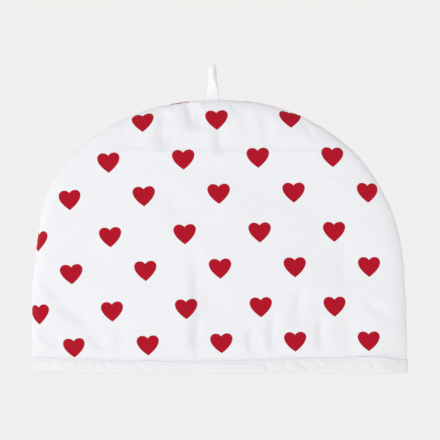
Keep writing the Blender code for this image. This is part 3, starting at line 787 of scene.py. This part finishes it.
def binding(material):
    """The strip folded up round the panels' lower edge, outside and inside."""
    base, _, side = strip_base()
    curl, tuck = edge_curl(base[:, 0], side)
    rows = [(strip_face(height)[0], height, height / BINDING_DEPTH) for height in OUTER_HEIGHTS]
    lip, outward = strip_face(LIP_ROWS[0][0])
    thick = outward * (BINDING_THICKNESS - tuck)[:, None]
    rows += [(lip - thick * through, height, follow) for height, through, follow in LIP_ROWS]
    rows += turned_rows(TURN_ROWS, outward * curl[:, None])
    rows += [(inner_face(height), height, 0) for height in INNER_HEIGHTS]
    rows += turned_rows(INNER_FOOT_ROWS, 0)
    rows = np.array([np.column_stack([line, strip_heights(height, follow)]) for line, height, follow in rows])
    across = np.concatenate([[0], np.cumsum(np.linalg.norm(np.diff(rows, axis=0), axis=2).mean(axis=1))])
    cloth = np.stack(np.broadcast_arrays(distances(rows[UPRIGHT_ROW])[None, :], across[:, None], 0.0), axis=-1)
    faces = closed_faces(*rows.shape[:2])
    return object_from("hem_binding_cloth", rows.reshape(-1, 3), faces, material, cloth.reshape(-1, 3))


def stitch_row(line, outward):
    """A row of stitches along a closed line: each a short rounded thread, half sunk in the cloth."""
    reach = distances(line)
    count = int(reach[-1] / STITCH_PITCH)
    share, wide = np.array(THREAD_PROFILE).T[..., None]
    turn = 2 * math.pi * np.arange(THREAD_SIDES) / THREAD_SIDES
    middle = (np.arange(count) + 0.5) * reach[-1] / count
    place = middle[:, None, None] + share * STITCH_LENGTH + 0 * turn
    away = THREAD_LIFT - THREAD_DIVE * np.abs(share) ** 1.5 + wide * np.cos(turn)
    thick = points_at(outward, reach, place) * away[..., None] + (wide * np.sin(turn))[..., None] * (0, 0, 1)
    return (points_at(line, reach, place) + STITCH_RADIUS * thick).reshape(-1, 3)


def stitches(material):
    """The topstitching round the strip, outside and inside."""
    outer, outward = strip_face(STITCH_HEIGHT)
    inner, away = ring(False, INNER_STITCH_LINE)
    rows = []
    for line, out, follow in ((outer, outward, STITCH_HEIGHT / BINDING_DEPTH), (inner, -away, 0)):
        level = np.column_stack([out, np.zeros(len(out))])
        rows.append(stitch_row(np.column_stack([line, strip_heights(STITCH_HEIGHT, follow)]), level))
    points, faces = np.concatenate(rows), []
    length = (len(THREAD_PROFILE) - 1) * THREAD_SIDES
    for first in range(0, len(points), length + THREAD_SIDES):
        for start in range(first, first + length, THREAD_SIDES):
            ends = [(start + side, start + (side + 1) % THREAD_SIDES) for side in range(THREAD_SIDES)]
            faces += [(a, b, b + THREAD_SIDES, a + THREAD_SIDES) for a, b in ends]
        faces += [tuple(range(start, start + THREAD_SIDES)) for start in (first, first + length)]
    return object_from("hem_stitches", points, faces, material)


# The hanging loop


def tape_line(foot_points=5, leg_points=34, crest_points=18, opening=0.1):
    """The tape's middle seen from its edge, round from the seam and back: how far forward and up."""
    lowest = TAPE_THICKNESS / 2 + GAP / 2
    widest = (LOOP_EYE + TAPE_THICKNESS) / 2
    shoulder_up = LOOP_WIDEST_AT * LOOP_RISE
    turn = np.linspace(-math.pi / 2, 0, foot_points)[:-1]
    foot = np.column_stack([lowest * np.cos(turn), lowest * np.sin(turn)])
    rise = np.linspace(0, shoulder_up, leg_points)[:-1]
    leg = np.column_stack([lowest + (widest - lowest) * smooth(opening, 1, rise / shoulder_up), rise])
    turn = np.linspace(0, math.pi / 2, crest_points)
    crest = np.column_stack([widest * np.cos(turn), shoulder_up + (LOOP_RISE - shoulder_up) * np.sin(turn)])
    half = np.concatenate([foot, leg, crest])
    return np.concatenate([half, (half * (-1, 1))[::-1][1:-1]])


def hanging_loop(material, last_share=0.94, points_across=13, rounding=0.4, ripple=0.1, ripple_length=2.3):
    """A tape folded over, both ends caught in the groove between the panels' rounded edges."""
    seam_z = float(np.interp(LOOP_X, *OUTLINE.T))
    roll = float(seam_roll(np.array([[LOOP_X, seam_z]]))[0])
    line = tape_line()
    # The section: shares of the tape's half width, and which face it is on
    faced = np.linspace(-last_share, last_share, points_across)
    section = [(-1, 0), *((share, 1) for share in faced), (1, 0), *((share, -1) for share in faced[::-1])]
    points, cloth = [], []
    for (forward, up), (run, climb), place in zip(line, headings(line), distances(line)):
        rise = min(max(up / LOOP_RISE, 0), 1)
        narrow = float(smooth(0, TAPE_NARROW_AT, rise))
        half = (TAPE_WIDTH_BELOW + (TAPE_WIDTH_ABOVE - TAPE_WIDTH_BELOW) * narrow) / 2
        twist = math.radians(LOOP_TWIST) * float(smooth(*TWIST_SHARES, rise))
        crest = float(smooth(*LOOP_CREST, rise))
        cup = TAPE_CUP * narrow * (1 - CREST_FLATTENING * crest)
        for share, face in section:
            across = share * (half - (rounding if face else 0))
            out = face * (TAPE_THICKNESS / 2 - TAPE_SEAM_DEPTH * bell(share, *TAPE_SEAM))
            out += ripple * math.sin(place / ripple_length + 2 * share) * narrow * (1 - crest)
            out -= cup * share**2
            y = -(forward + climb * out)
            points.append((
                LOOP_X + across * math.cos(twist) - y * math.sin(twist),
                across * math.sin(twist) + y * math.cos(twist) - roll,
                seam_z - roll - LOOP_SEAT + up - run * out,
            ))
            cloth.append((share * TAPE_WIDTH_BELOW / 2, place, 0))
    faces = closed_faces(len(line), len(section))
    return object_from("hanging_loop_tape", points, faces, material, cloth)


# Materials


class Shading:
    """The node tree of a material or a world, with short calls that add its nodes."""

    def __init__(self, owner):
        owner.use_nodes = True
        self.owner = owner
        self.tree = owner.node_tree

    def add(self, kind, inputs=(), **settings):
        node = self.tree.nodes.new(kind)
        for name, value in settings.items():
            setattr(node, name, value)
        for key, value in dict(inputs).items():
            self.feed(node.inputs[key], value)
        return node

    def feed(self, socket, value):
        if isinstance(value, bpy.types.NodeSocket):
            self.tree.links.new(value, socket)
        else:
            socket.default_value = value

    def surface(self, **values):
        """Sets the shader's inputs, named with _ for a space."""
        for name, value in values.items():
            self.feed(self.tree.nodes["Principled BSDF"].inputs[name.replace("_", " ")], value)

    def math(self, operation, *values):
        return self.add("ShaderNodeMath", enumerate(values), operation=operation).outputs[0]

    def vector(self, operation, *values):
        return self.add("ShaderNodeVectorMath", enumerate(values), operation=operation).outputs

    def parts(self, vector):
        return self.add("ShaderNodeSeparateXYZ", {0: vector}).outputs

    def stretch(self, value, low, high, to_low=0.0, to_high=1.0, eased=False):
        kind = "SMOOTHSTEP" if eased else "LINEAR"
        inputs = {"Value": value, "From Min": low, "From Max": high, "To Min": to_low, "To Max": to_high}
        return self.add("ShaderNodeMapRange", inputs, interpolation_type=kind).outputs["Result"]

    def noise(self, vector, scale, detail, roughness=0.5, stretch=(1, 1, 1)):
        placed = self.vector("MULTIPLY", vector, stretch)[0]
        inputs = {"Vector": placed, "Scale": scale, "Detail": detail, "Roughness": roughness}
        return self.add("ShaderNodeTexNoise", inputs).outputs["Fac"]

    def mix(self, share, first, second):
        node = self.add("ShaderNodeMix", data_type="RGBA")
        for socket, value in zip((node.inputs[0], node.inputs[6], node.inputs[7]), (share, first, second)):
            self.feed(socket, value)
        return node.outputs[2]

    def bump(self, height, distance, strength, normal=None):
        inputs = {"Height": height, "Distance": distance * TO_METRES, "Strength": strength}
        if normal is not None:
            inputs["Normal"] = normal
        return self.add("ShaderNodeBump", inputs).outputs["Normal"]


def tinted(color, *factors):
    """The colour with its red, green and blue multiplied by one factor or by three."""
    return (*(np.array(color[:3]) * factors).tolist(), 1)


def heart(shade, u, v):
    """1 inside a heart about u and v of 0: full lower sides run to a point, under two lobes."""
    calc = shade.math
    x = calc("ABSOLUTE", calc("MULTIPLY_ADD", v, math.sin(HEART_TILT), u))
    y = calc("ADD", calc("MULTIPLY_ADD", u, -math.sin(HEART_TILT), v), HEART_MIDDLE)
    left_over = calc("SUBTRACT", 1.0, calc("DIVIDE", y, HEART_WIDEST_AT))
    hollow = calc("POWER", calc("MAXIMUM", left_over, 0.0), HEART_FULLNESS)
    half = calc("MULTIPLY_ADD", hollow, -HEART_HALF_WIDTH, HEART_HALF_WIDTH)
    below = shade.stretch(calc("SUBTRACT", half, x), -PRINT_EDGE, PRINT_EDGE, eased=True)
    from_lobe = calc("SUBTRACT", x, LOBE_X)
    outer = calc("GREATER_THAN", from_lobe, 0.0)
    radius = calc("MULTIPLY_ADD", outer, LOBE_OUTER - LOBE_INNER, LOBE_INNER)
    across = calc("POWER", calc("ABSOLUTE", calc("DIVIDE", from_lobe, radius)), 2.0)
    up = calc("MULTIPLY_ADD", y, 1 / LOBE_HEIGHT, -HEART_WIDEST_AT / LOBE_HEIGHT)
    reach = calc("SQRT", calc("MULTIPLY_ADD", up, up, across))
    soft = PRINT_EDGE / LOBE_HEIGHT
    above = shade.stretch(calc("SUBTRACT", 1.0, reach), -soft, soft, eased=True)
    is_above = calc("GREATER_THAN", y, HEART_WIDEST_AT)
    return calc("MULTIPLY_ADD", is_above, calc("SUBTRACT", above, below), below)


def print_mask(shade, cloth, origin, end):
    """Where the hearts are printed."""
    calc = shade.math
    right, up, is_inner = shade.parts(cloth)
    place = shade.add("ShaderNodeCombineXYZ", {0: right, 1: up}).outputs[0]
    inverse = np.linalg.inv(np.array([ACROSS_STEP, UP_STEP]).T)
    masks = []
    for offset in ((0, 0), SECOND_OFFSET):
        moved = shade.vector("SUBTRACT", place, (*np.add(origin, offset).tolist(), 0))[0]
        local = []
        for row, step in zip(inverse, (ACROSS_STEP, UP_STEP)):
            along = shade.vector("DOT_PRODUCT", moved, (*row, 0))["Value"]
            share = calc("FRACT", calc("ADD", along, 0.5))
            local.append(calc("MULTIPLY", calc("SUBTRACT", share, 0.5), math.hypot(*step)))
        masks.append(heart(shade, *local))
    printed = calc("MULTIPLY", calc("MAXIMUM", *masks), calc("LESS_THAN", right, end))
    return calc("MULTIPLY", printed, calc("SUBTRACT", 1.0, is_inner))


def weave(shade, cloth, pitch):
    """The height of a plain weave whose threads are pitch apart."""
    calc = shade.math
    threads = [calc("SINE", calc("MULTIPLY", part, math.pi / pitch)) for part in shade.parts(cloth)[:2]]
    return calc("MULTIPLY", *threads)


def cotton(name, pitch, crumple=1.0):
    """A material with the surface of woven cotton: threads, thicker ones and a slight crumple."""
    shade = Shading(bpy.data.materials.new(name))
    cloth = shade.add("ShaderNodeAttribute", attribute_name="cloth").outputs["Vector"]
    crumpled = shade.bump(shade.noise(cloth, 0.11, 3.0, 0.55), 1.0, 0.28 * crumple)
    slubs = [shade.noise(cloth, 1.0, 1.0, stretch=stretch) for stretch in ((0.06, 1.3, 1), (1.3, 0.06, 1))]
    slubbed = shade.bump(shade.math("ADD", *slubs), 0.12, 0.3, crumpled)
    shade.surface(Normal=shade.bump(weave(shade, cloth, pitch), 0.05, 0.35, slubbed), **COTTON_SHEEN)
    return shade, cloth


def printed_cotton(name, origin, end):
    shade, cloth = cotton(name, WEAVE_PITCH)
    printed = print_mask(shade, cloth, origin, end)
    mottled = shade.stretch(shade.noise(cloth, 0.05, 3.0), 0.3, 0.7)
    white = shade.mix(mottled, tinted(CLOTH_WHITE, 0.985), CLOTH_WHITE)
    inked = shade.stretch(shade.noise(cloth, 0.9, 3.0), 0.3, 0.75)
    red = shade.mix(inked, PRINT_RED, tinted(PRINT_RED, *INK_UNEVENNESS))
    color = shade.mix(printed, white, red)
    shade.surface(Base_Color=color, Roughness=shade.stretch(printed, 0, 1, 0.92, 0.8))
    return shade.owner


def plain_cotton(name, white, pitch, crumple):
    shade, cloth = cotton(name, pitch, crumple)
    mottled = shade.stretch(shade.noise(cloth, 0.09, 3.0), 0.3, 0.7)
    color = shade.mix(mottled, tinted(white, 0.975), white)
    shade.surface(Base_Color=color, Roughness=shade.stretch(mottled, 0, 1, 0.95, 0.87))
    return shade.owner


def thread():
    """White sewing thread, with its twist."""
    shade = Shading(bpy.data.materials.new("sewing_thread"))
    place = shade.add("ShaderNodeTexCoord").outputs["Object"]
    inputs = {"Vector": place, "Scale": THREAD_TWIST, "Distortion": 0.4}
    twist = shade.add("ShaderNodeTexWave", inputs, bands_direction="DIAGONAL").outputs["Fac"]
    shade.surface(
        Base_Color=shade.mix(twist, THREAD_DARK, THREAD_WHITE),
        Roughness=shade.stretch(twist, 0, 1, 0.7, 0.5),
        Normal=shade.bump(twist, 0.06, 0.5),
        **THREAD_SHEEN,
    )
    return shade.owner


# The studio


def floor():
    """A pale round floor in the colour of the surround, which it runs out into."""
    bpy.ops.mesh.primitive_circle_add(vertices=128, radius=7.0, fill_type="NGON")
    made = bpy.context.object
    made.name = "studio_floor"
    shade = Shading(bpy.data.materials.new("studio_floor"))
    glow = shade.add("ShaderNodeEmission", {"Color": BACKDROP})
    shade.feed(shade.tree.nodes["Material Output"].inputs["Surface"], glow.outputs[0])
    made.data.materials.append(shade.owner)


def world():
    """An even pale surround that lights the cosy softly, a little less from above."""
    shade = Shading(bpy.data.worlds.new("studio"))
    bpy.context.scene.world = shade.owner
    shade.tree.nodes.clear()
    up = shade.parts(shade.add("ShaderNodeTexCoord").outputs["Generated"])["Z"]
    strength = shade.stretch(up, 0, 1, LIGHT_LEVEL, LIGHT_ABOVE)
    lit = shade.add("ShaderNodeBackground", {"Color": LIGHT_COLOR, "Strength": strength}).outputs[0]
    seen = shade.add("ShaderNodeBackground", {"Color": BACKDROP}).outputs[0]
    is_seen = shade.add("ShaderNodeLightPath").outputs["Is Camera Ray"]
    blend = shade.add("ShaderNodeMixShader", {0: is_seen, 1: lit, 2: seen}).outputs[0]
    shade.add("ShaderNodeOutputWorld", {"Surface": blend})


def lamps():
    """Two broad soft lights, placed by degrees round from the front to the right and up."""
    for row in table(LAMPS, LAMP_COLUMNS):
        light = bpy.data.lights.new(row["name"], "SUN")
        light.energy = row["energy"]
        light.angle = math.radians(40)
        turn, up = math.radians(row["round"]), math.radians(row["up"])
        toward = Vector((math.sin(turn) * math.cos(up), -math.cos(turn) * math.cos(up), math.sin(up)))
        placed(row["name"], light).rotation_euler = toward.to_track_quat("Z", "Y").to_euler()


def camera():
    made = placed("camera", bpy.data.cameras.new("camera"))
    made.data.lens = 180
    made.data.clip_end = 50
    made.matrix_world = Matrix.Translation(CAMERA_PLACE) @ Matrix.Rotation(math.radians(90), 4, "X")
    bpy.context.scene.camera = made


def main():
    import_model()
    front_print = printed_cotton("printed_cotton_front", FRONT_PRINT, FRONT_PRINT_END)
    front = panel("front_panel_cloth", FRONT, front_print)
    back_print = printed_cotton("printed_cotton_back", BACK_PRINT, BACK_PRINT_END)
    back = panel("back_panel_cloth", BACK, back_print)
    strip = binding(plain_cotton("binding_cotton", BINDING_WHITE, WEAVE_PITCH, crumple=0.8))
    sewn = stitches(thread())
    # The loop's tape, whose white is lifted as a painted highlight
    tape = hanging_loop(plain_cotton("loop_tape", TAPE_WHITE_AND_HIGHLIGHT, TAPE_PITCH, crumple=0.5))
    for piece, node, slot in (
        (front, "front_panel", "printed_cotton"),
        (back, "back_panel", "printed_cotton"),
        (strip, "hem_binding", "binding_cotton"),
        (tape, "hanging_loop", "loop_tape"),
    ):
        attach(piece, "root")
        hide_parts(node)
    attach(sewn, "root")
    floor()
    world()
    lamps()
    camera()
    bpy.context.scene.view_settings.view_transform = "Standard"


main()
